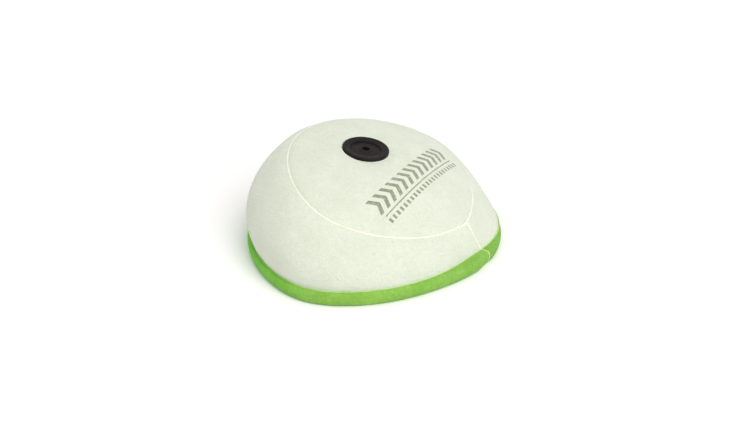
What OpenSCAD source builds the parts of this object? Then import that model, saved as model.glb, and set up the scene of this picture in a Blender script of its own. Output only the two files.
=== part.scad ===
// Foam air filter for an off-road motorcycle: two foam layers over a foam
// sealing ring, with a moulded grommet for the cage bolt in its crown.
// The nose points along +X, and Z = 0 is the face that seals on the air box.

/* [Sealing ring] */
// Length of the ring, nose to rear
base_length = 210; // [190:1:250]
// Width of the ring, side to side
base_width = 243; // [200:1:270]
// How much narrower the rear of the ring is than its nose
base_taper = 1; // [0:0.1:2]
// How far the four ends of the ring stand out of an oval
base_corner = 2.4; // [0:0.1:4]
// Height of the ring
ring_height = 11; // [8:0.5:16]
// Width of the ring's section
ring_band = 24.5; // [24.5:0.5:27]
// How far the ring stands out past the foot of the wall
flare = 3.8; // [2:0.1:3.8]

/* [Crown] */
// Length of the top seam, seen from above
crown_length = 150; // [140:1:175]
// Width of the top seam, seen from above
crown_width = 179; // [150:1:185]
// Distance of the top seam's centre ahead of the ring's centre
crown_shift = 7; // [0:0.5:15]
// How much narrower the nose of the top seam is than its rear
crown_taper = 0.3; // [0:0.1:1]
// How far the four ends of the top seam stand out of an oval
crown_corner = 1.2; // [0:0.1:3]
// Height of the top seam's plane over the ring's centre
seam_height = 60; // [50:0.5:70]
// Angle at which the top seam falls towards the nose
seam_slope = 18.5; // [8:0.5:19]
// Rise of the domed top above the plane of its seam
crown_rise = 16.5; // [8:0.5:22]
// Distance of the point with that rise ahead of the ring's centre
crown_peak = 25; // [10:1:35]
// Power of the dome's curve: 2 is round, and more is flatter with a rounder edge
crown_power = 2.2; // [1.6:0.1:3.6]

/* [Foam] */
// Thickness of the coarse outer foam
outer_foam = 10; // [8:0.5:11]
// Thickness of the fine inner foam
inner_foam = 8; // [6:0.5:8]
// How far the nose of the wall bellies out between the ring and the top seam
belly_nose = 0; // [0:0.5:8]
// How far the sides of the wall belly out
belly_sides = 10.5; // [2:0.5:12]
// How far the rear of the wall bellies out
belly_rear = 15; // [2:0.5:16]
// Angle that the glue of each butt joint takes up, each side of the nose
joint_half_angle = 0.6; // [0.4:0.1:1]

/* [Glue] */
// Width of each foam edge that is bevelled for the top seam's glue
bevel = 1.3; // [0.8:0.1:2]
// How far a glue line stands proud of the foam
bead_rise = 0.5; // [0.3:0.1:0.8]
// Leg of the glue fillets in the inside corners
fillet_leg = 1.6; // [1:0.1:2.5]

/* [Grommet] */
// Distance of the grommet ahead of the ring's centre
grommet_x = -7.5; // [-12:0.5:6]
// How many degrees more level than the foam under it the grommet sits
grommet_level = 4; // [0:0.5:6]
// Radius of the outer flange
flange_r = 19; // [16:0.5:22]
// Thickness of the outer flange at its rim
flange_t = 2.6; // [2:0.1:4]
// Depth of the seat that the outer flange presses into the foam
seat_depth = 2.2; // [1.5:0.1:3]
// Radius of the recessed middle of the outer flange
dish_r = 12.6; // [10:0.1:14]
// Radius of the hub that passes through the foam
hub_r = 6.5; // [5.5:0.1:8]
// Radius of the bolt's clearance hole
bore_r = 3.2; // [2.6:0.1:4.3]
// Radius of the inner flange
inner_flange_r = 17; // [14:0.5:20]
// Thickness of the inner flange
inner_flange_t = 2.5; // [2:0.1:3.5]

/* [Hidden] */

turn_steps = 72;
base_shape = [base_length, base_width, 0, -base_taper, base_corner];
crown_shape = [crown_length, crown_width, crown_shift, crown_taper, crown_corner];
foam_t = outer_foam + inner_foam;
turn = [for (i = [0:turn_steps - 1]) 360 * i / turn_steps];
strip = [for (i = [0:turn_steps])
    joint_half_angle + (360 - 2 * joint_half_angle) * i / turn_steps];
joint = [-joint_half_angle, 0, joint_half_angle];
wall_rows = [0, 0.12, 0.3, 0.5, 0.7, 0.86];
dome_rows = [0.2, 0.4, 0.6, 0.8, 0.92];

// A smooth closed outline, given by the distance from its centre to the tangent
// whose normal points along angle f. It stays smooth and parallel when it is
// moved in by inset. shape is [length, width, centre, taper, corner].
function outline(shape, inset, f) =
    let (
        oval = (shape[0] - shape[1]) / 4,
        mean = (shape[0] + shape[1]) / 4 - shape[4] - inset,
        shift = shape[2] - shape[3],
        reach = mean + shift * cos(f) + oval * cos(2 * f) + shape[3] * cos(3 * f)
            + shape[4] * cos(4 * f),
        slip = -shift * sin(f) - 2 * oval * sin(2 * f) - 3 * shape[3] * sin(3 * f)
            - 4 * shape[4] * sin(4 * f)
    )
    [reach * cos(f) - slip * sin(f), reach * sin(f) + slip * cos(f)];

function seam_plane(x) = seam_height - tan(seam_slope) * x;
function lift(p, z) = [p[0], p[1], z];
function mix(a, b, t) = a * (1 - t) + b * t;

function belly(f) =
    belly_sides - (belly_rear - belly_nose) / 2 * cos(f)
        + ((belly_rear + belly_nose) / 2 - belly_sides) * pow(cos(f), 2);

// A point of the wall: f round the filter, t up from the ring (0) to the mitre (1)
function wall_point(f, t, inset) =
    let (
        foot = outline(base_shape, flare + inset, f),
        head = outline(crown_shape, inset, f),
        p = mix(foot, head, t) + belly(f) * 4 * t * (1 - t) * [cos(f), sin(f)]
    )
    lift(p, mix(ring_height, seam_plane(head[0]) - inset, t));

// A point of the domed top: f round the filter, s out from the peak (0) to the mitre (1)
function dome_point(f, s, inset) =
    let (
        peak = [crown_peak, 0],
        p = mix(peak, outline(crown_shape, inset, f), s)
    )
    lift(p, seam_plane(p[0]) - inset + crown_rise * (1 - pow(s, crown_power)));

// The same two surfaces at a distance of size from the seam between them, or from the foot
function below_seam(f, size, inset) =
    wall_point(f, 1 - size / norm(wall_point(f, 1, inset) - wall_point(f, 0, inset)), inset);
function inside_seam(f, size, inset) =
    dome_point(f, 1 - size / norm(dome_point(f, 1, inset) - dome_point(f, 0, inset)), inset);
function above_foot(f, size, inset) =
    let (foot = wall_point(f, 0, inset), on = wall_point(f, wall_rows[1], inset))
    mix(foot, on, size / norm(on - foot));
function outward(f, out, up) = [out * cos(f), out * sin(f), up];

// Joins equal rings of points into a closed skin, round a loop or with two end caps
module skin(rings, loop) {
    rows = len(rings);
    cols = len(rings[0]);
    last = loop ? rows - 1 : rows - 2;
    sides = [for (i = [0:last]) for (j = [0:cols - 1])
        let (a = i, b = (i + 1) % rows, c = (j + 1) % cols)
        each [[a * cols + j, b * cols + j, b * cols + c], [a * cols + j, b * cols + c, a * cols + c]]];
    caps = loop ? [] : [
        [for (j = [0:cols - 1]) j],
        [for (j = [cols - 1:-1:0]) (rows - 1) * cols + j]
    ];
    polyhedron(points = [for (ring = rings) each ring], faces = concat(sides, caps));
}

// One layer of the wall's foam, cut as a strip, its top edge bevelled when it has a bead
module wall_layer(near, far, edge) {
    skin([for (f = strip) concat(
        [for (t = wall_rows) wall_point(f, t, near)],
        edge > 0 ? [below_seam(f, edge, near), wall_point(f, 1, near + edge)] : [wall_point(f, 1, near)],
        [wall_point(f, 1, far)],
        [for (i = [len(wall_rows) - 1:-1:0]) wall_point(f, wall_rows[i], far)]
    )], false);
}

// One layer of the top's foam, from the depth near to the depth far
module dome_layer(near, far, edge) {
    rim = edge > 0 ? 2 : 1;
    inner_rings = [for (s = dome_rows) [for (f = turn) dome_point(f, s, far)]];
    rim_rings = concat(
        [[for (f = turn) dome_point(f, 1, far)]],
        edge > 0
            ? [[for (f = turn) dome_point(f, 1, near + edge)], [for (f = turn) inside_seam(f, edge, near)]]
            : [[for (f = turn) dome_point(f, 1, near)]]
    );
    outer_rings = [for (i = [len(dome_rows) - 1:-1:0]) [for (f = turn) dome_point(f, dome_rows[i], near)]];
    rings = concat(inner_rings, rim_rings, outer_rings);
    n = turn_steps;
    count = len(rings);
    under = count * n;
    over = under + 1;
    sides = [for (i = [0:count - 2]) for (j = [0:n - 1])
        let (k = (j + 1) % n)
        each [[i * n + j, i * n + k, (i + 1) * n + k], [i * n + j, (i + 1) * n + k, (i + 1) * n + j]]];
    fans = [for (j = [0:n - 1])
        let (k = (j + 1) % n)
        each [[under, k, j], [over, (count - 1) * n + j, (count - 1) * n + k]]];
    points = concat([for (ring = rings) each ring], [dome_point(0, 0, far), dome_point(0, 0, near)]);
    polyhedron(points = points, faces = [for (face = concat(sides, fans)) [face[2], face[1], face[0]]]);
}

// The grommet's place: on the dome, a little more level than its surface
dome_reach = crown_length / 2 + crown_peak - crown_shift;
grommet_s = (crown_peak - grommet_x) / dome_reach;
dome_steepness = crown_rise * crown_power * pow(grommet_s, crown_power - 1) / dome_reach;
dome_tilt = atan(tan(seam_slope) - dome_steepness);
grommet_tilt = dome_tilt - grommet_level;
grommet_z = seam_plane(grommet_x) + crown_rise * (1 - pow(grommet_s, crown_power));
clamped_t = foam_t * cos(dome_tilt) / cos(grommet_level) - 2 * seat_depth;
inner_seat = seat_depth + clamped_t;
barb_length = 1;
hub_length = inner_seat + inner_flange_t + barb_length;

module at_grommet() {
    translate([grommet_x, 0, grommet_z]) rotate([0, grommet_tilt, 0]) children();
}

// The hole that the hub fills
module hub_hole() {
    at_grommet() translate([0, 0, -2 * foam_t]) cylinder(h = 3 * foam_t, r = hub_r, $fn = 64);
}

module outer_side_wall() {
    color([0.90, 0.93, 0.86]) wall_layer(0, outer_foam, bevel);
}

module outer_top_panel() {
    color([0.92, 0.94, 0.88]) difference() {
        dome_layer(0, outer_foam, bevel);
        hub_hole();
        at_grommet() translate([0, 0, -seat_depth]) cylinder(h = foam_t, r = flange_r, $fn = 96);
    }
}

module inner_side_wall() {
    color([0.72, 0.84, 0.55]) wall_layer(outer_foam, foam_t, 0);
}

module inner_top_panel() {
    color([0.75, 0.86, 0.58]) difference() {
        dome_layer(outer_foam, foam_t, 0);
        hub_hole();
        at_grommet() translate([0, 0, -inner_seat - foam_t])
            cylinder(h = foam_t, r = inner_flange_r, $fn = 96);
    }
}

// The ring's section: [distance in from the outline, height]
ring_section = [
    [flare, ring_height], [1.6, ring_height - 0.4], [0.4, ring_height - 2], [0, ring_height / 2],
    [0.5, ring_height / 4], [2, 0.7], [4.2, 0],
    [ring_band - 1.2, 0], [ring_band, 1.2], [ring_band, ring_height - 1.2], [ring_band - 1.2, ring_height]
];
function ring_points(f) = [for (p = ring_section) lift(outline(base_shape, p[0], f), p[1])];

module sealing_ring() {
    color([0.45, 0.72, 0.22]) skin([for (f = strip) [for (p = ring_points(f)) p]], false);
}

// Glue that fills the groove between the wall and the top, and stands a little proud
module top_seam_bead() {
    color([0.98, 0.97, 0.88]) skin([for (f = turn)
        let (
            low = below_seam(f, bevel, 0),
            high = inside_seam(f, bevel, 0),
            ridge = wall_point(f, 1, 0)
        )
        [
            low,
            mix(low, ridge, 0.5) + outward(f, 0.8 * bead_rise, 0.4 * bead_rise),
            ridge + outward(f, 0.3 * bead_rise, 0.5 * bead_rise),
            mix(high, ridge, 0.5) + outward(f, 0.1 * bead_rise, bead_rise),
            high,
            wall_point(f, 1, bevel)
        ]], true);
}

// Glue through the whole thickness of a wall's butt joint, proud on one face
module wall_joint(near, far, out, top_inset) {
    skin([for (t = concat(wall_rows, [1]))
        concat(
            [for (f = joint) wall_point(f, t, t == 1 ? top_inset : near)
                + outward(f, f == 0 ? out : 0, 0)],
            [for (i = [2:-1:0]) wall_point(joint[i], t, far)]
        )], false);
}

module side_seam_bead() {
    color([0.98, 0.97, 0.88]) wall_joint(0, outer_foam, bead_rise, bevel);
}

module inner_side_seam_bead() {
    color([0.96, 0.95, 0.80]) wall_joint(outer_foam, foam_t, 0, outer_foam);
}

// A bead of glue along the corner between the inner wall and the inner top
module inner_top_seam_bead() {
    color([0.96, 0.95, 0.80]) skin([for (f = turn)
        let (corner = wall_point(f, 1, foam_t))
        [
            corner,
            below_seam(f, fillet_leg, foam_t),
            corner - outward(f, 2 * bead_rise, 2 * bead_rise),
            inside_seam(f, fillet_leg, foam_t)
        ]], true);
}

// A fillet of glue on the ring's ledge, against the foot of the outer wall
module base_bond_fillet() {
    color([0.86, 0.93, 0.62]) skin([for (f = turn)
        let (foot = wall_point(f, 0, 0))
        [foot, foot + outward(f, fillet_leg, 0), above_foot(f, fillet_leg, 0)]
    ], true);
}

// A fillet of glue between the ring's inner ledge and the foot of the inner wall
module inner_base_bond_fillet() {
    color([0.86, 0.93, 0.62]) skin([for (f = turn)
        let (foot = wall_point(f, 0, foam_t))
        [foot, above_foot(f, fillet_leg, foam_t), foot - outward(f, 0.7 * fillet_leg, 0)]
    ], true);
}

// Glue through the butt joint of the sealing ring
module ring_joint_bead() {
    color([0.80, 0.90, 0.55]) skin([for (f = joint) ring_points(f)], false);
}

module grommet_outer_flange() {
    color([0.14, 0.13, 0.13]) at_grommet() rotate_extrude($fn = 96) polygon([
        [bore_r, -hub_length], [bore_r, -1], [bore_r + 0.6, -0.4], [bore_r + 1.6, -0.4],
        [bore_r + 2.4, -0.9], [dish_r - 0.6, -1.3], [dish_r, -0.5],
        [flange_r - 0.8, flange_t - seat_depth], [flange_r, flange_t - seat_depth - 0.8],
        [flange_r, -seat_depth], [hub_r, -seat_depth],
        [hub_r, -inner_seat - inner_flange_t], [hub_r + 0.7, -inner_seat - inner_flange_t],
        [hub_r - 0.3, -hub_length]
    ]);
}

module grommet_inner_flange() {
    color([0.14, 0.13, 0.13]) at_grommet() rotate_extrude($fn = 96) polygon([
        [hub_r, -inner_seat], [inner_flange_r, -inner_seat],
        [inner_flange_r, -inner_seat - inner_flange_t + 1],
        [inner_flange_r - 1, -inner_seat - inner_flange_t],
        [hub_r, -inner_seat - inner_flange_t]
    ]);
}

outer_side_wall();
outer_top_panel();
inner_side_wall();
inner_top_panel();
sealing_ring();
top_seam_bead();
side_seam_bead();
inner_top_seam_bead();
inner_side_seam_bead();
base_bond_fillet();
inner_base_bond_fillet();
ring_joint_bead();
grommet_outer_flange();
grommet_inner_flange();
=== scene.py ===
"""The looks of the foam air filter: two layers of foam, a sealing ring, glue lines and a grommet."""

import math

import bpy
import numpy as np
from mathutils import Matrix, Vector


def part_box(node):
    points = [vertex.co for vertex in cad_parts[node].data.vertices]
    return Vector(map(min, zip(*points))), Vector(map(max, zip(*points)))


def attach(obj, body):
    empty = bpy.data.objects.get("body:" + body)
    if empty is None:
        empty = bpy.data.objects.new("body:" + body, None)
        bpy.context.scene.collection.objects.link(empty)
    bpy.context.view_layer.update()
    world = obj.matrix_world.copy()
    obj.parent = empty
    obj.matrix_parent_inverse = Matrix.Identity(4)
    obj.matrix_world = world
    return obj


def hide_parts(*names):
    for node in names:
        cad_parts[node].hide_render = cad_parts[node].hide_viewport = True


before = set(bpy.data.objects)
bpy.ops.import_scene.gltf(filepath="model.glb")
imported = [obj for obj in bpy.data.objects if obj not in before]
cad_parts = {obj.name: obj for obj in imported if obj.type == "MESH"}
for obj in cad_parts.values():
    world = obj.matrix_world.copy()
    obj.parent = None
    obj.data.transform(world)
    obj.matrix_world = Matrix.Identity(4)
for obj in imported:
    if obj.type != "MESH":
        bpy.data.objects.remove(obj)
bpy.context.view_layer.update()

MM = 0.001
ring_low, ring_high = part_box("sealing_ring")

# Outlines are (length, width, centre, taper, corner)
base_shape = (ring_high[0] - ring_low[0], ring_high[1] - ring_low[1], 0.0, -1.0 * MM, 2.4 * MM)
crown_shape = (150 * MM, 179 * MM, 7 * MM, 0.3 * MM, 1.2 * MM)
ring_height = ring_high[2]
ring_band = 24.5 * MM
flare = 3.8 * MM
seam_height = 60 * MM
seam_fall = math.tan(math.radians(18.5))
crown_rise = 16.5 * MM
crown_peak = 25 * MM
crown_power = 2.2
belly_nose = 0.0
belly_sides = 10.5 * MM
belly_rear = 15 * MM
outer_foam = 10 * MM
foam_thickness = 18 * MM
joint_half_angle = math.radians(0.6)

# The foam's edge rolls in to the top seam, by seam_dip over about seam_shoulder
seam_dip = 1.5 * MM
seam_shoulder = 4 * MM

# The top's outline is drawn out by nose_point where the side seam meets it
nose_point = 1.8 * MM
nose_spread = 8

# Soft foam lies uneven in places: (depth, angle round the filter, spread of that angle) of each dent,
# where a negative depth stands out
ring_dents = ((2.3 * MM, -27, 18), (4.2 * MM, 49, 20))
wall_dents = ((5.5 * MM, -8, 17), (-3.0 * MM, 32, 16))
joint_pinch = ((1.2 * MM, -2.5, 4),)

grommet_x = -7.5 * MM
grommet_level = math.radians(4)
flange_radius = 19 * MM
flange_thickness = 2.6 * MM
seat_depth = 2.2 * MM
dish_radius = 12.6 * MM
hub_radius = 6.5 * MM
bore_radius = 3.2 * MM
inner_flange_radius = 17 * MM
inner_flange_thickness = 2.5 * MM
barb_length = 1 * MM

# The printed band lies across the top, and bows towards the nose in its middle
chevron_x = 31 * MM
rule_x = 40.6 * MM
dash_x = 45 * MM
band_reach = 60 * MM
band_bow = 3 * MM


# ---------------------------------------------------------------- shapes

def mix(a, b, t):
    return a * (1 - t) + b * t


def smooth(t):
    t = np.clip(t, 0, 1)
    return t * t * (3 - 2 * t)


def outline(shape, inset, f):
    """Points of a smooth outline whose outward normals point along the angles f."""
    length, width, centre, taper, corner = shape
    oval = (length - width) / 4
    mean = (length + width) / 4 - corner - inset
    shift = centre - taper
    reach = (mean + shift * np.cos(f) + oval * np.cos(2 * f) + taper * np.cos(3 * f)
             + corner * np.cos(4 * f))
    slip = (-shift * np.sin(f) - 2 * oval * np.sin(2 * f) - 3 * taper * np.sin(3 * f)
            - 4 * corner * np.sin(4 * f))
    return np.stack([reach * np.cos(f) - slip * np.sin(f), reach * np.sin(f) + slip * np.cos(f)], -1)


def hump(f, middle, spread):
    """1 at the angle middle, falling away on both sides; both angles are in degrees."""
    away = np.degrees((f - math.radians(middle) + math.pi) % (2 * math.pi) - math.pi)
    return np.exp(-(away / spread) ** 2)


def dented(f, dents):
    """How deep the foam lies below its plain shape at the angle f."""
    return sum(depth * hump(f, middle, spread) for depth, middle, spread in dents)


def base_outline(inset, f):
    """The ring's outline, a little flattened on both sides of its nose."""
    return outline(base_shape, inset + dented(f, ring_dents), f)


def crown_outline(inset, f):
    """The top seam's outline, drawn out to a slight point where the side seam meets it."""
    return outline(crown_shape, inset - nose_point * hump(f, 0, nose_spread), f)


def seam_plane(x):
    return seam_height - seam_fall * x


def wall_point(f, t, inset):
    """A point of the wall: f round the filter, t from the ring (0) up to the seam (1)."""
    f, t, inset = np.broadcast_arrays(np.asarray(f, float), t, inset)
    setback = dented(f, wall_dents) * np.clip(1 - inset / outer_foam, 0, 1)
    foot = base_outline(flare + inset + setback, f)
    head = crown_outline(inset, f)
    out = np.stack([np.cos(f), np.sin(f)], -1)
    belly = (belly_sides - (belly_rear - belly_nose) / 2 * np.cos(f)
             + ((belly_rear + belly_nose) / 2 - belly_sides) * np.cos(f) ** 2)
    p = mix(foot, head, t[..., None]) + (belly * 4 * t * (1 - t))[..., None] * out
    z = mix(ring_height, seam_plane(head[..., 0]) - inset, t)
    return np.concatenate([p, z[..., None]], -1)


fine_turn = np.linspace(-math.pi, math.pi, 2881)


def dome_height(x, y, inset, drop=0):
    """Height over x, y of the top's surface at a depth of inset, its edge rolled in by drop."""
    rim = crown_outline(inset, fine_turn)
    middle = crown_peak
    angle = np.arctan2(rim[:, 1], rim[:, 0] - middle)
    reach = np.hypot(rim[:, 0] - middle, rim[:, 1])
    order = np.argsort(angle)
    here = np.arctan2(y, x - middle)
    edge = np.interp(here, angle[order], reach[order], period=2 * math.pi) - drop
    s = np.clip(np.hypot(x - middle, y) / edge, 0, 1)
    return seam_plane(x) - inset - drop + crown_rise * (1 - s ** crown_power)


step = 1 * MM
slope = (dome_height(np.array([grommet_x + step]), np.array([0.0]), 0)
         - dome_height(np.array([grommet_x - step]), np.array([0.0]), 0))[0] / (2 * step)
dome_tilt = -math.atan(slope)
grommet_tilt = dome_tilt - grommet_level
grommet_top = dome_height(np.array([grommet_x]), np.array([0.0]), 0)[0]
inner_seat = foam_thickness * math.cos(dome_tilt) / math.cos(grommet_level) - seat_depth
hub_length = inner_seat + inner_flange_thickness + barb_length
at_grommet = (Matrix.Translation((grommet_x, 0, grommet_top))
              @ Matrix.Rotation(grommet_tilt, 4, "Y"))


# ---------------------------------------------------------------- meshes

def mesh_piece(name, points, faces, material, run):
    """A mesh object whose points carry run, how far along the sweep they lie."""
    mesh = bpy.data.meshes.new(name)
    mesh.from_pydata([tuple(p) for p in points], [], faces)
    mesh.attributes.new("run", "FLOAT", "POINT").data.foreach_set("value", run.astype(np.float32))
    mesh.shade_smooth()
    mesh.validate()
    piece = bpy.data.objects.new(name, mesh)
    bpy.context.collection.objects.link(piece)
    mesh.materials.append(material)
    return piece


def swept(name, grid, material, closed):
    """A solid from a grid of points [round the filter, round the section, xyz]."""
    turns, cols = grid.shape[:2]
    points = grid.reshape(-1, 3)
    last = turns if closed else turns - 1
    faces = []
    for i in range(last):
        a, b = i * cols, ((i + 1) % turns) * cols
        faces += [(a + j, b + j, b + (j + 1) % cols, a + (j + 1) % cols) for j in range(cols)]
    if not closed:
        faces.append(tuple(range(cols)))
        faces.append(tuple((turns - 1) * cols + j for j in range(cols - 1, -1, -1)))
    # Outward faces give a positive volume
    quads = np.array([q for q in faces if len(q) == 4])
    a, b, c, d = (points[quads[:, k]] for k in range(4))
    volume = (np.cross(a, b) * c).sum() + (np.cross(a, c) * d).sum()
    if volume < 0:
        faces = [tuple(reversed(q)) for q in faces]
    run = np.repeat(np.arange(turns) / (turns - 1), cols)
    return mesh_piece(name, points, faces, material, run)


def socket(tree, name, kind, value=None):
    made = tree.interface.new_socket(name=name, in_out="INPUT", socket_type=kind)
    if value is not None:
        made.default_value = value
    return made


def new_tree(name):
    tree = bpy.data.node_groups.new(name, "GeometryNodeTree")
    tree.interface.new_socket(name="Geometry", in_out="OUTPUT", socket_type="NodeSocketGeometry")
    socket(tree, "Geometry", "NodeSocketGeometry")
    return tree


def apply_tree(piece, tree, **values):
    """Runs a geometry tree on a piece, and keeps the result as the piece's plain mesh."""
    mod = piece.modifiers.new(tree.name, "NODES")
    mod.node_group = tree
    for item in tree.interface.items_tree:
        key = item.name.lower().replace(" ", "_")
        if item.in_out == "INPUT" and key in values:
            mod[item.identifier] = values.pop(key)
    assert not values, values
    bpy.context.view_layer.update()
    seen = piece.evaluated_get(bpy.context.evaluated_depsgraph_get())
    mesh = bpy.data.meshes.new_from_object(seen)
    piece.modifiers.clear()
    piece.data = mesh
    mesh.shade_smooth()
    return piece


def math_node(tree, kind, a, b=None):
    made = tree.nodes.new("ShaderNodeMath")
    made.operation = kind
    for k, v in enumerate((a, b)):
        if v is None:
            continue
        if isinstance(v, (int, float)):
            made.inputs[k].default_value = v
        else:
            tree.links.new(v, made.inputs[k])
    return made.outputs[0]


def relief_tree():
    """Foam relief: a slow waviness and a finer grain, pushed along the surface's normals."""
    tree = new_tree("foam relief")
    for name, value in (("Wave Size", 0.03), ("Wave Height", 0.0004), ("Grain Size", 0.002),
                        ("Grain Height", 0.0001)):
        socket(tree, name, "NodeSocketFloat", value)
    socket(tree, "Seed", "NodeSocketInt", 1)
    socket(tree, "Material", "NodeSocketMaterial")
    nodes, links = tree.nodes, tree.links
    given = nodes.new("NodeGroupInput").outputs
    place = nodes.new("GeometryNodeInputPosition").outputs[0]
    normal = nodes.new("GeometryNodeInputNormal").outputs[0]

    def rise(size, height, detail):
        noise = nodes.new("ShaderNodeTexNoise")
        noise.noise_dimensions = "4D"
        noise.inputs["Detail"].default_value = detail
        links.new(place, noise.inputs["Vector"])
        links.new(given["Seed"], noise.inputs["W"])
        links.new(math_node(tree, "DIVIDE", 1.0, given[size]), noise.inputs["Scale"])
        return math_node(tree, "MULTIPLY", math_node(tree, "SUBTRACT", noise.outputs[0], 0.5),
                         given[height])

    total = math_node(tree, "ADD", rise("Wave Size", "Wave Height", 1.0),
                      rise("Grain Size", "Grain Height", 2.0))
    push = nodes.new("ShaderNodeVectorMath")
    push.operation = "SCALE"
    links.new(normal, push.inputs[0])
    links.new(total, push.inputs["Scale"])
    move = nodes.new("GeometryNodeSetPosition")
    links.new(given["Geometry"], move.inputs["Geometry"])
    links.new(push.outputs[0], move.inputs["Offset"])
    real = nodes.new("GeometryNodeRealizeInstances")
    links.new(move.outputs[0], real.inputs[0])
    paint = nodes.new("GeometryNodeSetMaterial")
    links.new(real.outputs[0], paint.inputs["Geometry"])
    links.new(given["Material"], paint.inputs["Material"])
    links.new(paint.outputs[0], nodes.new("NodeGroupOutput").inputs[0])
    return tree


def bead_tree():
    """A glue line: a round bead along a path, its thickness wandering as a hand-laid bead's does."""
    tree = new_tree("glue bead")
    for name, value in (("Radius", 0.0012), ("Wander", 0.25), ("Wander Length", 0.012),
                        ("Step", 0.0008)):
        socket(tree, name, "NodeSocketFloat", value)
    socket(tree, "Seed", "NodeSocketInt", 1)
    socket(tree, "Material", "NodeSocketMaterial")
    nodes, links = tree.nodes, tree.links
    given = nodes.new("NodeGroupInput").outputs
    path = nodes.new("GeometryNodeMeshToCurve")
    links.new(given["Geometry"], path.inputs[0])
    even = nodes.new("GeometryNodeResampleCurve")
    even.mode = "LENGTH"
    links.new(path.outputs[0], even.inputs["Curve"])
    links.new(given["Step"], even.inputs["Length"])
    noise = nodes.new("ShaderNodeTexNoise")
    noise.noise_dimensions = "4D"
    noise.inputs["Detail"].default_value = 2.0
    links.new(nodes.new("GeometryNodeInputPosition").outputs[0], noise.inputs["Vector"])
    links.new(given["Seed"], noise.inputs["W"])
    links.new(math_node(tree, "DIVIDE", 1.0, given["Wander Length"]), noise.inputs["Scale"])
    swing = math_node(tree, "MULTIPLY", math_node(tree, "SUBTRACT", noise.outputs[0], 0.5),
                      math_node(tree, "MULTIPLY", given["Wander"], 2.0))
    radius = nodes.new("GeometryNodeSetCurveRadius")
    links.new(even.outputs[0], radius.inputs["Curve"])
    links.new(math_node(tree, "ADD", swing, 1.0), radius.inputs["Radius"])
    ring = nodes.new("GeometryNodeCurvePrimitiveCircle")
    ring.inputs["Resolution"].default_value = 14
    links.new(given["Radius"], ring.inputs["Radius"])
    tube = nodes.new("GeometryNodeCurveToMesh")
    links.new(radius.outputs[0], tube.inputs["Curve"])
    links.new(ring.outputs[0], tube.inputs["Profile Curve"])
    tube.inputs["Fill Caps"].default_value = True
    real = nodes.new("GeometryNodeRealizeInstances")
    links.new(tube.outputs[0], real.inputs[0])
    paint = nodes.new("GeometryNodeSetMaterial")
    links.new(real.outputs[0], paint.inputs["Geometry"])
    links.new(given["Material"], paint.inputs["Material"])
    links.new(paint.outputs[0], nodes.new("NodeGroupOutput").inputs[0])
    return tree


relief = relief_tree()
bead = bead_tree()


def glue_line(name, points, material, closed, **sizes):
    """A bead of glue along a list of points."""
    count = len(points)
    mesh = bpy.data.meshes.new(name)
    edges = [(i, i + 1) for i in range(count - 1)] + ([(count - 1, 0)] if closed else [])
    mesh.from_pydata([tuple(p) for p in points], edges, [])
    piece = bpy.data.objects.new(name, mesh)
    bpy.context.collection.objects.link(piece)
    return apply_tree(piece, bead, material=material, **sizes)


# ---------------------------------------------------------------- materials

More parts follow.
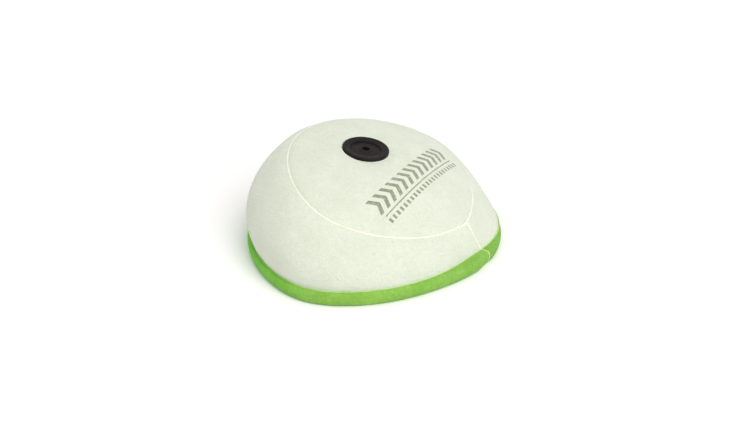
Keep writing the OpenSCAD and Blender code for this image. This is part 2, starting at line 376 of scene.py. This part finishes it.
class Finish:
    """A node material with one Principled shader, and short ways to add to it."""

    def __init__(self, name, **constants):
        self.material = bpy.data.materials.new(name)
        self.material.use_nodes = True
        self.tree = self.material.node_tree
        self.shader = self.tree.nodes["Principled BSDF"]
        for key, value in constants.items():
            self.shader.inputs[key.replace("_", " ")].default_value = value
        self.place = self.tree.nodes.new("ShaderNodeTexCoord").outputs["Object"]

    def noise(self, size, detail=3.0, roughness=0.5):
        made = self.tree.nodes.new("ShaderNodeTexNoise")
        made.inputs["Scale"].default_value = 1 / size
        made.inputs["Detail"].default_value = detail
        made.inputs["Roughness"].default_value = roughness
        self.tree.links.new(self.place, made.inputs["Vector"])
        return made.outputs[0]

    def cells(self, size):
        made = self.tree.nodes.new("ShaderNodeTexVoronoi")
        made.inputs["Scale"].default_value = 1 / size
        self.tree.links.new(self.place, made.inputs["Vector"])
        return made.outputs["Distance"]

    def math(self, kind, a, b=None):
        return math_node(self.tree, kind, a, b)

    def between(self, value, low, high, out_low=0.0, out_high=1.0):
        made = self.tree.nodes.new("ShaderNodeMapRange")
        made.interpolation_type = "SMOOTHSTEP"
        for key, v in (("From Min", low), ("From Max", high), ("To Min", out_low), ("To Max", out_high)):
            made.inputs[key].default_value = v
        self.tree.links.new(value, made.inputs["Value"])
        return made.outputs[0]

    def blend(self, factor, first, second, kind="MIX"):
        made = self.tree.nodes.new("ShaderNodeMix")
        made.data_type = "RGBA"
        made.blend_type = kind
        if isinstance(factor, float):
            made.inputs["Factor"].default_value = factor
        else:
            self.tree.links.new(factor, made.inputs["Factor"])
        for key, v in (("A", first), ("B", second)):
            spot = [s for s in made.inputs if s.name == key and s.type == "RGBA"][0]
            if isinstance(v, tuple):
                spot.default_value = (*v, 1)
            else:
                self.tree.links.new(v, spot)
        return [s for s in made.outputs if s.type == "RGBA"][0]

    def tint(self, colour, value, stops):
        """A colour times a tint that changes with value, from (value, tint) stops from 0 to 1."""
        ramp = self.tree.nodes.new("ShaderNodeValToRGB")
        self.tree.links.new(value, ramp.inputs[0])
        points = ramp.color_ramp.elements
        points[0].color = (*stops[0][1], 1)
        points[-1].color = (*stops[-1][1], 1)
        for at, shade in stops[1:-1]:
            points.new(at).color = (*shade, 1)
        return self.blend(1.0, colour, ramp.outputs[0], "MULTIPLY")

    def colour(self, value):
        self.tree.links.new(value, self.shader.inputs["Base Color"])

    def rough(self, value):
        self.tree.links.new(value, self.shader.inputs["Roughness"])

    def bump(self, height, distance, strength=1.0, under=None):
        made = self.tree.nodes.new("ShaderNodeBump")
        made.inputs["Strength"].default_value = strength
        made.inputs["Distance"].default_value = distance
        self.tree.links.new(height, made.inputs["Height"])
        if under is not None:
            self.tree.links.new(under, made.inputs["Normal"])
        self.tree.links.new(made.outputs[0], self.shader.inputs["Normal"])
        return made.outputs[0]

    def axes(self):
        made = self.tree.nodes.new("ShaderNodeSeparateXYZ")
        self.tree.links.new(self.place, made.inputs[0])
        return made.outputs

    def distance(self):
        """The distance from the origin."""
        made = self.tree.nodes.new("ShaderNodeVectorMath")
        made.operation = "LENGTH"
        self.tree.links.new(self.place, made.inputs[0])
        return made.outputs["Value"]

    def attribute(self, name):
        made = self.tree.nodes.new("ShaderNodeAttribute")
        made.attribute_name = name
        return made.outputs["Fac"]


def printed_band(foam):
    """Ink over a band of the top: a row of chevrons, a thin rule and a row of dashes."""
    across, along, _ = foam.axes()
    side = foam.math("ABSOLUTE", along)
    bow = foam.math("MULTIPLY", foam.math("MULTIPLY", along, along), band_bow / band_reach ** 2)
    across = foam.math("ADD", foam.math("SUBTRACT", across, band_bow), bow)

    def stripe(middle, half, blur=0.25 * MM):
        away = foam.math("ABSOLUTE", foam.math("SUBTRACT", across, middle))
        return foam.between(away, half + blur, half - blur)

    def row(middle, half, run, pitch, stroke):
        """Strokes of ink at even distances, over a stripe of the band."""
        strokes = foam.between(foam.math("PINGPONG", run, pitch / 2), stroke + 0.4 * MM, stroke)
        inked = foam.math("MULTIPLY", strokes, stripe(middle, half))
        near = foam.between(foam.math("ABSOLUTE", run), band_reach, band_reach - 0.4 * MM)
        return foam.math("MULTIPLY", inked, near)

    bend = foam.math("ABSOLUTE", foam.math("SUBTRACT", across, chevron_x))
    lean = foam.math("SUBTRACT", foam.math("MULTIPLY", bend, 0.75), 2.6 * MM)
    chevrons = row(chevron_x, 7 * MM, foam.math("ADD", along, lean), 9.2 * MM, 1.95 * MM)
    rule_end = band_reach - 2 * MM
    rule = foam.math("MULTIPLY", stripe(rule_x, 0.45 * MM), foam.between(side, rule_end, rule_end - 0.4 * MM))
    dashes = row(dash_x, 1.7 * MM, along, 5.2 * MM, 1.1 * MM)
    rows = foam.math("MAXIMUM", chevrons, foam.math("MAXIMUM", dashes, rule))
    worn = foam.between(foam.noise(1.3 * MM, 3.0), 0.30, 0.48, 0.45, 1.0)
    return foam.math("MULTIPLY", rows, worn)


def foam_finish(name, light, shade, pore, pore_shade_colour, depth, ink=None, fuzz=0.25, dye_and_painted_shading=None):
    """Open-cell foam: pores of one size darkened with painted shade, a fine tooth between them, and slow
    patches of tone.
    """
    foam = Finish(name, Roughness=0.93, Specular_IOR_Level=0.2, Sheen_Weight=fuzz, Sheen_Roughness=0.6)
    patches = foam.between(foam.noise(0.022, 3.0), 0.35, 0.65)
    mottle = foam.between(foam.noise(0.0035, 3.0, 0.6), 0.3, 0.7)
    tone = foam.blend(foam.math("MULTIPLY", patches, 0.5), light, shade)
    tone = foam.blend(foam.math("MULTIPLY", mottle, 0.5), tone, shade)
    # Painted shade: the middle of each pore is darkened towards the pore colour, as shade falls inside the
    # open cells
    pore_shade = foam.between(foam.cells(pore), 0.30, 0.08)
    pore_shade = foam.math("MULTIPLY", pore_shade, foam.between(foam.noise(pore * 3, 1.0), 0.35, 0.6))
    tone = foam.blend(foam.math("MULTIPLY", pore_shade, 0.95), tone, pore_shade_colour)
    # The tint along the run holds painted shading as well as the strip's own tone change
    if dye_and_painted_shading:
        tone = foam.tint(tone, foam.attribute("run"), dye_and_painted_shading)
    if ink:
        tone = foam.blend(foam.math("MULTIPLY", printed_band(foam), 0.92), tone, ink)
    foam.colour(tone)
    skin = foam.bump(foam.noise(pore * 1.6, 3.0, 0.65), depth * 0.9, 0.8)
    foam.bump(foam.cells(pore), depth, 0.8, skin)
    return foam


def glue_finish(name, pale, warm):
    glue = Finish(name, Roughness=0.45, Specular_IOR_Level=0.45, Subsurface_Weight=0.15,
                  Subsurface_Scale=0.002)
    tone = glue.blend(glue.between(glue.noise(0.009), 0.35, 0.65), pale, warm)
    glue.colour(tone)
    glue.rough(glue.between(glue.noise(0.004), 0.3, 0.7, 0.38, 0.62))
    glue.bump(glue.noise(0.0016, 3.0), 0.0003, 0.6)
    return glue


# The fourth colour of each foam look is the painted shade in its pores
coarse_look = ((0.71, 0.745, 0.635), (0.61, 0.67, 0.545), 1.0 * MM, (0.43, 0.475, 0.36), 0.40 * MM)
coarse_foam = foam_finish("coarse foam", *coarse_look)
printed_foam = foam_finish("printed coarse foam", *coarse_look, ink=(0.20, 0.235, 0.145))
fine_foam = foam_finish("fine foam", (0.60, 0.76, 0.40), (0.53, 0.69, 0.33), 0.55 * MM,
                        (0.30, 0.42, 0.16), 0.15 * MM)
# Tint along the green strip by run: partly the foam's own tone, which differs across the joint, and partly
# painted shading, greener and purer on the left, duller at the front and towards the nose
strip_dye_and_painted_shading = ((0.0, (0.78, 0.80, 0.78)), (0.12, (0.68, 0.78, 0.66)), (0.45, (0.67, 1.0, 0.62)),
             (0.62, (0.67, 1.0, 0.62)), (0.78, (0.93, 0.88, 0.92)), (0.86, (1.0, 0.91, 1.0)),
             (0.93, (0.90, 0.86, 0.90)), (1.0, (0.87, 0.85, 0.88)))
ring_foam = foam_finish("ring foam", (0.30, 0.60, 0.105), (0.185, 0.46, 0.043), 1.0 * MM,
                        (0.08, 0.25, 0.018), 0.44 * MM, fuzz=0.05, dye_and_painted_shading=strip_dye_and_painted_shading)
seam_glue = glue_finish("seam glue", (0.89, 0.875, 0.74), (0.83, 0.81, 0.66))
bond_glue = glue_finish("bond glue", (0.52, 0.74, 0.28), (0.42, 0.66, 0.18))

moulded = Finish("moulded black", Roughness=0.5, Specular_IOR_Level=0.14)
moulded.colour(moulded.blend(moulded.between(moulded.noise(0.01), 0.3, 0.7),
                             (0.009, 0.007, 0.006), (0.014, 0.011, 0.010)))
moulded.rough(moulded.between(moulded.noise(0.003, 4.0), 0.3, 0.7, 0.42, 0.58))
moulded.bump(moulded.noise(0.0006, 2.0), 0.00005, 0.5)


# ---------------------------------------------------------------- foam pieces

def strip_angles(count):
    gap = 0.6 * joint_half_angle
    return np.linspace(gap, 2 * math.pi - gap, count)


def shoulder(distance):
    """How far the foam rolls in at a distance from the seam."""
    return seam_dip * np.exp(-(distance / seam_shoulder) ** 1.5)


def wall_layer(name, near, far, turns, rows, finish):
    """One layer of the wall's foam, a strip whose outer top edge rolls in to the seam."""
    f = strip_angles(turns)[:, None]
    t_up = (0.5 - 0.5 * np.cos(math.pi * np.linspace(0, 1, rows)))[None]
    t_down = np.linspace(1, 0, max(rows // 4, 6))[None]
    inset = near + 0 * f * t_up
    if near == 0:
        height = np.linalg.norm(wall_point(f, 1.0, 0) - wall_point(f, 0.0, 0), axis=-1)
        inset = inset + shoulder(height * (1 - t_up)) + 0.25 * shoulder(height * t_up)
    grid = np.concatenate([wall_point(f, t_up, inset), wall_point(f, t_down, far)], 1)
    return swept(name, grid, finish.material, closed=False)


outer_wall = wall_layer("outer_wall_foam", 0, outer_foam, 720, 84, coarse_foam)
inner_wall = wall_layer("inner_wall_foam", outer_foam, foam_thickness, 420, 48, fine_foam)


def top_layer(name, near, far, turns, rows, finish, seat_radius, seat, underneath):
    """One layer of the top's foam, laid out in rings round the grommet, with the seat pressed in."""
    f = np.linspace(0, 2 * math.pi, turns, endpoint=False)
    centre = np.array([grommet_x, 0.0])
    lean = math.tan(grommet_tilt)

    def ring(reach, inset, drop, press):
        """Points at a fraction reach of the way from the hub to the rim, at a depth of inset."""
        rim = crown_outline(inset + drop, f)
        hub = centre + hub_radius * (rim - centre) / np.linalg.norm(rim - centre, axis=1)[:, None]
        p = mix(hub, rim, reach)
        z = dome_height(p[:, 0], p[:, 1], inset, drop)
        if press:
            along = (p[:, 0] - grommet_x)
            away = np.hypot(along / math.cos(grommet_tilt), p[:, 1])
            floor = grommet_top - along * lean - seat / math.cos(grommet_tilt)
            bank = smooth((away - seat_radius) / (0.9 * MM))
            dip = 0.9 * MM * np.exp(-((away - seat_radius) / (4.5 * MM)) ** 2)
            surface = z - dip if not underneath else z + dip
            z = mix(floor, surface, bank)
        return np.concatenate([p, z[:, None]], -1)

    spread = np.concatenate([np.linspace(0, 0.30, rows // 2), np.linspace(0.30, 0.93, rows)[1:],
                             np.linspace(0.93, 1, 12)[1:]])
    width = np.linalg.norm(crown_outline(0, f) - centre, axis=1) - hub_radius
    rings = []
    for s in spread:
        drop = 0 if underneath else shoulder(width * (1 - s))
        rings.append(ring(s, near, drop, not underneath))
    for s in spread[::-1][:: 1 if underneath else 4]:
        rings.append(ring(s, far, 0, underneath))
    grid = np.stack(rings, 1)
    return swept(name, grid, finish.material, closed=True)


outer_top = top_layer("outer_top_foam", 0, outer_foam, 520, 70, printed_foam,
                      flange_radius, seat_depth, False)
inner_top = top_layer("inner_top_foam", outer_foam, foam_thickness, 360, 40, fine_foam,
                      inner_flange_radius, inner_seat, True)


def rounded_section(corners, steps):
    """A closed section from (distance in, height, radius) corners, each one rounded off."""
    points = []
    count = len(corners)
    for i, (x, z, r) in enumerate(corners):
        here = np.array([x, z])
        back = np.array(corners[i - 1][:2]) - here
        on = np.array(corners[(i + 1) % count][:2]) - here
        start = here + back / np.linalg.norm(back) * r
        end = here + on / np.linalg.norm(on) * r
        for k in range(steps + 1):
            u = k / steps
            points.append((1 - u) ** 2 * start + 2 * u * (1 - u) * here + u * u * end)
    return np.array(points)


ring_section = rounded_section([
    (flare + 2 * MM, ring_height, 0.6 * MM), (0.4 * MM, ring_height, 3.4 * MM),
    (0.0, ring_height * 0.45, 1.6 * MM), (1.6 * MM, 0.0, 2.2 * MM),
    (ring_band, 0.0, 1.4 * MM), (ring_band, ring_height, 1.4 * MM)], 8)


def ring_grid(f):
    pinch = dented(f, joint_pinch)
    p = np.stack([base_outline(s[0] + pinch * (s[0] < ring_band / 2), f) for s in ring_section], 1)
    z = np.broadcast_to(ring_section[:, 1], p.shape[:2])
    return np.concatenate([p, z[..., None]], -1)


ring = swept("sealing_ring_foam", ring_grid(strip_angles(640)), ring_foam.material, closed=False)

for piece, finish, wave, grain, seed in (
        (outer_wall, coarse_foam, 0.5, 0.22, 3), (outer_top, printed_foam, 0.45, 0.22, 5),
        (inner_wall, fine_foam, 0.3, 0.12, 7), (inner_top, fine_foam, 0.3, 0.12, 9),
        (ring, ring_foam, 0.35, 0.15, 11)):
    apply_tree(piece, relief, wave_size=0.028, wave_height=wave * MM, grain_size=0.0022,
               grain_height=grain * MM, seed=seed, material=finish.material)


# ---------------------------------------------------------------- glue

loop = np.linspace(0, 2 * math.pi, 480, endpoint=False)
seam_depth = seam_dip + 0.3 * MM + 0.8 * MM * hump(loop, 62, 26)
top_bead = glue_line("top_seam_glue", wall_point(loop, 1.0, seam_depth), seam_glue.material, True,
                     radius=0.8 * MM, wander=0.3, seed=2)
inner_top_bead = glue_line("inner_top_seam_glue", wall_point(loop, 1.0, foam_thickness + 0.2 * MM),
                           seam_glue.material, True, radius=1.4 * MM, wander=0.3, seed=4)
bond_bead = glue_line("base_bond_glue", wall_point(loop, 0.004, -0.1 * MM), bond_glue.material, True,
                      radius=0.4 * MM, wander=0.3, seed=6)
inner_bond_bead = glue_line("inner_base_bond_glue", wall_point(loop, 0.004, foam_thickness),
                            bond_glue.material, True, radius=0.8 * MM, wander=0.3, seed=8)


def joint_sheet(name, near, far, proud, finish, seed):
    """Glue through a wall's butt joint, its two edges rounded and a little proud."""
    t = np.linspace(0, 1, 60)
    half = joint_half_angle * 0.7
    section = []
    for k in range(5):
        a = math.pi * (k / 4 - 0.5)
        section.append((half * math.sin(a), near - proud * math.cos(a)))
    for k in range(5):
        a = math.pi * (0.5 - k / 4)
        section.append((half * math.sin(a), far + proud * 0.6 * math.cos(a)))
    grid = np.stack([wall_point(s[0] + 0 * t, t, s[1] + 0 * t) for s in section], 1)
    piece = swept(name, grid, finish.material, closed=False)
    return apply_tree(piece, relief, wave_size=0.008, wave_height=0.5 * MM, grain_size=0.003,
                      grain_height=0.2 * MM, seed=seed, material=finish.material)


side_sheet = joint_sheet("side_seam_glue", 0, outer_foam, 0.15 * MM, seam_glue, 21)
inner_side_sheet = joint_sheet("inner_side_seam_glue", outer_foam, foam_thickness, 0.4 * MM, seam_glue, 23)
ring_joint = swept("ring_joint_glue", ring_grid(np.linspace(-0.7, 0.7, 5) * joint_half_angle),
                   bond_glue.material, closed=False)


# ---------------------------------------------------------------- grommet

def lathe(name, corners, turns, finish):
    """A moulding turned about the grommet's axis, from (radius, height, rounding) corners."""
    section = rounded_section(corners, 5)
    a = np.linspace(0, 2 * math.pi, turns, endpoint=False)
    grid = np.stack([section[:, 0][None] * np.cos(a)[:, None], section[:, 0][None] * np.sin(a)[:, None],
                     np.broadcast_to(section[:, 1], (turns, len(section)))], -1)
    turned = np.array(at_grommet.to_3x3()) @ grid.reshape(-1, 3).T
    place = turned.T + np.array(at_grommet.translation)
    return swept(name, place.reshape(grid.shape), finish.material, closed=True)


rim = flange_thickness - seat_depth
outer_flange = lathe("grommet_outer", [
    (bore_radius, -hub_length, 0.2 * MM), (bore_radius, -0.5 * MM, 0.35 * MM),
    (bore_radius + 1.8 * MM, -0.5 * MM, 0.3 * MM), (bore_radius + 2.4 * MM, -1.2 * MM, 0.3 * MM),
    (dish_radius - 0.3 * MM, -1.5 * MM, 0.3 * MM), (dish_radius, -0.4 * MM, 0.3 * MM),
    (flange_radius - 1.6 * MM, rim + 0.1 * MM, 0.3 * MM), (flange_radius, rim, 0.9 * MM),
    (flange_radius, -seat_depth, 0.3 * MM), (hub_radius, -seat_depth, 0.3 * MM),
    (hub_radius, -inner_seat - inner_flange_thickness, 0.1 * MM),
    (hub_radius + 0.7 * MM, -inner_seat - inner_flange_thickness, 0.1 * MM),
    (hub_radius - 0.3 * MM, -hub_length, 0.3 * MM)], 160, moulded)
inner_flange = lathe("grommet_inner", [
    (hub_radius, -inner_seat, 0.2 * MM), (inner_flange_radius, -inner_seat, 0.3 * MM),
    (inner_flange_radius, -inner_seat - inner_flange_thickness, 0.9 * MM),
    (hub_radius, -inner_seat - inner_flange_thickness, 0.2 * MM)], 128, moulded)


# ---------------------------------------------------------------- who stands for what

stand_for = (
    (outer_wall, "outer_side_wall", "coarse_foam", 0.9),
    (outer_top, "outer_top_panel", "coarse_foam", 0.9),
    (inner_wall, "inner_side_wall", "fine_foam", 0.9),
    (inner_top, "inner_top_panel", "fine_foam", 0.9),
    (ring, "sealing_ring", "ring_foam", 1.0),
    (top_bead, "top_seam_bead", "seam_glue", None),
    (side_sheet, "side_seam_bead", "seam_glue", None),
    (inner_top_bead, "inner_top_seam_bead", "seam_glue", None),
    (inner_side_sheet, "inner_side_seam_bead", "seam_glue", None),
    (bond_bead, "base_bond_fillet", "bond_glue", None),
    (inner_bond_bead, "inner_base_bond_fillet", "bond_glue", None),
    (ring_joint, "ring_joint_bead", "bond_glue", None),
    (outer_flange, "grommet_outer_flange", "grommet_rubber", None),
    (inner_flange, "grommet_inner_flange", "grommet_rubber", None),
)
for piece, node, slot_name, fill in stand_for:
    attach(piece, "root")
    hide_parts(node)


# ---------------------------------------------------------------- studio

def area_light(name, place, aim, size, power, tint=(1, 1, 1)):
    light = bpy.data.lights.new(name, "AREA")
    light.shape = "DISK"
    light.size = size
    light.energy = power
    light.color = tint
    lamp = bpy.data.objects.new(name, light)
    bpy.context.collection.objects.link(lamp)
    lamp.location = place
    lamp.rotation_euler = (Vector(aim) - Vector(place)).to_track_quat("-Z", "Y").to_euler()
    return lamp


scene = bpy.context.scene
scene.view_settings.view_transform = "Standard"
world = bpy.data.worlds.new("studio")
scene.world = world
world.use_nodes = True
world.node_tree.nodes["Background"].inputs["Color"].default_value = (1, 0.97, 0.965, 1)
world.node_tree.nodes["Background"].inputs["Strength"].default_value = 0.71

floor_mesh = bpy.data.meshes.new("floor")
floor_reach = 3
floor_corners = [(x * floor_reach, y * floor_reach, 0) for x, y in ((-1, -1), (1, -1), (1, 1), (-1, 1))]
floor_mesh.from_pydata(floor_corners, [], [(0, 1, 2, 3)])
floor = bpy.data.objects.new("floor", floor_mesh)
bpy.context.collection.objects.link(floor)
pale = Finish("pale floor", Roughness=0.7, Specular_IOR_Level=0.2)
pale.colour(pale.blend(pale.noise(0.3), (0.975, 0.975, 0.975), (0.985, 0.985, 0.985)))
# A faint glow away from the filter keeps the floor white where the lamps reach it less
glow_start = 0.12
glow_full = 0.9
glow_strength = 0.35
pale.shader.inputs["Emission Color"].default_value = (1, 1, 1, 1)
glow = pale.between(pale.distance(), glow_start, glow_full, 0.0, glow_strength)
pale.tree.links.new(glow, pale.shader.inputs["Emission Strength"])
floor_mesh.materials.append(pale.material)

view_azimuth = math.radians(28.0)
view_elevation = math.radians(28.1)
view_distance = 1.008
back = Vector((math.sin(view_azimuth) * math.cos(view_elevation),
               -math.cos(view_azimuth) * math.cos(view_elevation), math.sin(view_elevation)))
right = Vector((math.cos(view_azimuth), math.sin(view_azimuth), 0))
up = back.cross(right)
camera_data = bpy.data.cameras.new("camera")
camera_data.sensor_width = 36
camera_data.lens = 58.06
camera_data.clip_start = 0.01
camera = bpy.data.objects.new("camera", camera_data)
bpy.context.collection.objects.link(camera)
aim = right * 0.67 * MM + up * 19.75 * MM
camera.location = back * view_distance
camera.rotation_euler = (aim - camera.location).to_track_quat("-Z", "Y").to_euler()
scene.camera = camera

area_light("key", right * 0.5 + back * 0.9 + Vector((0, 0, 0.7)), (0, 0, 0.03), 1.0, 10.5, (0.98, 1.0, 0.97))
area_light("top", Vector((0, 0, 1.3)), (0, 0, 0.03), 1.2, 2)
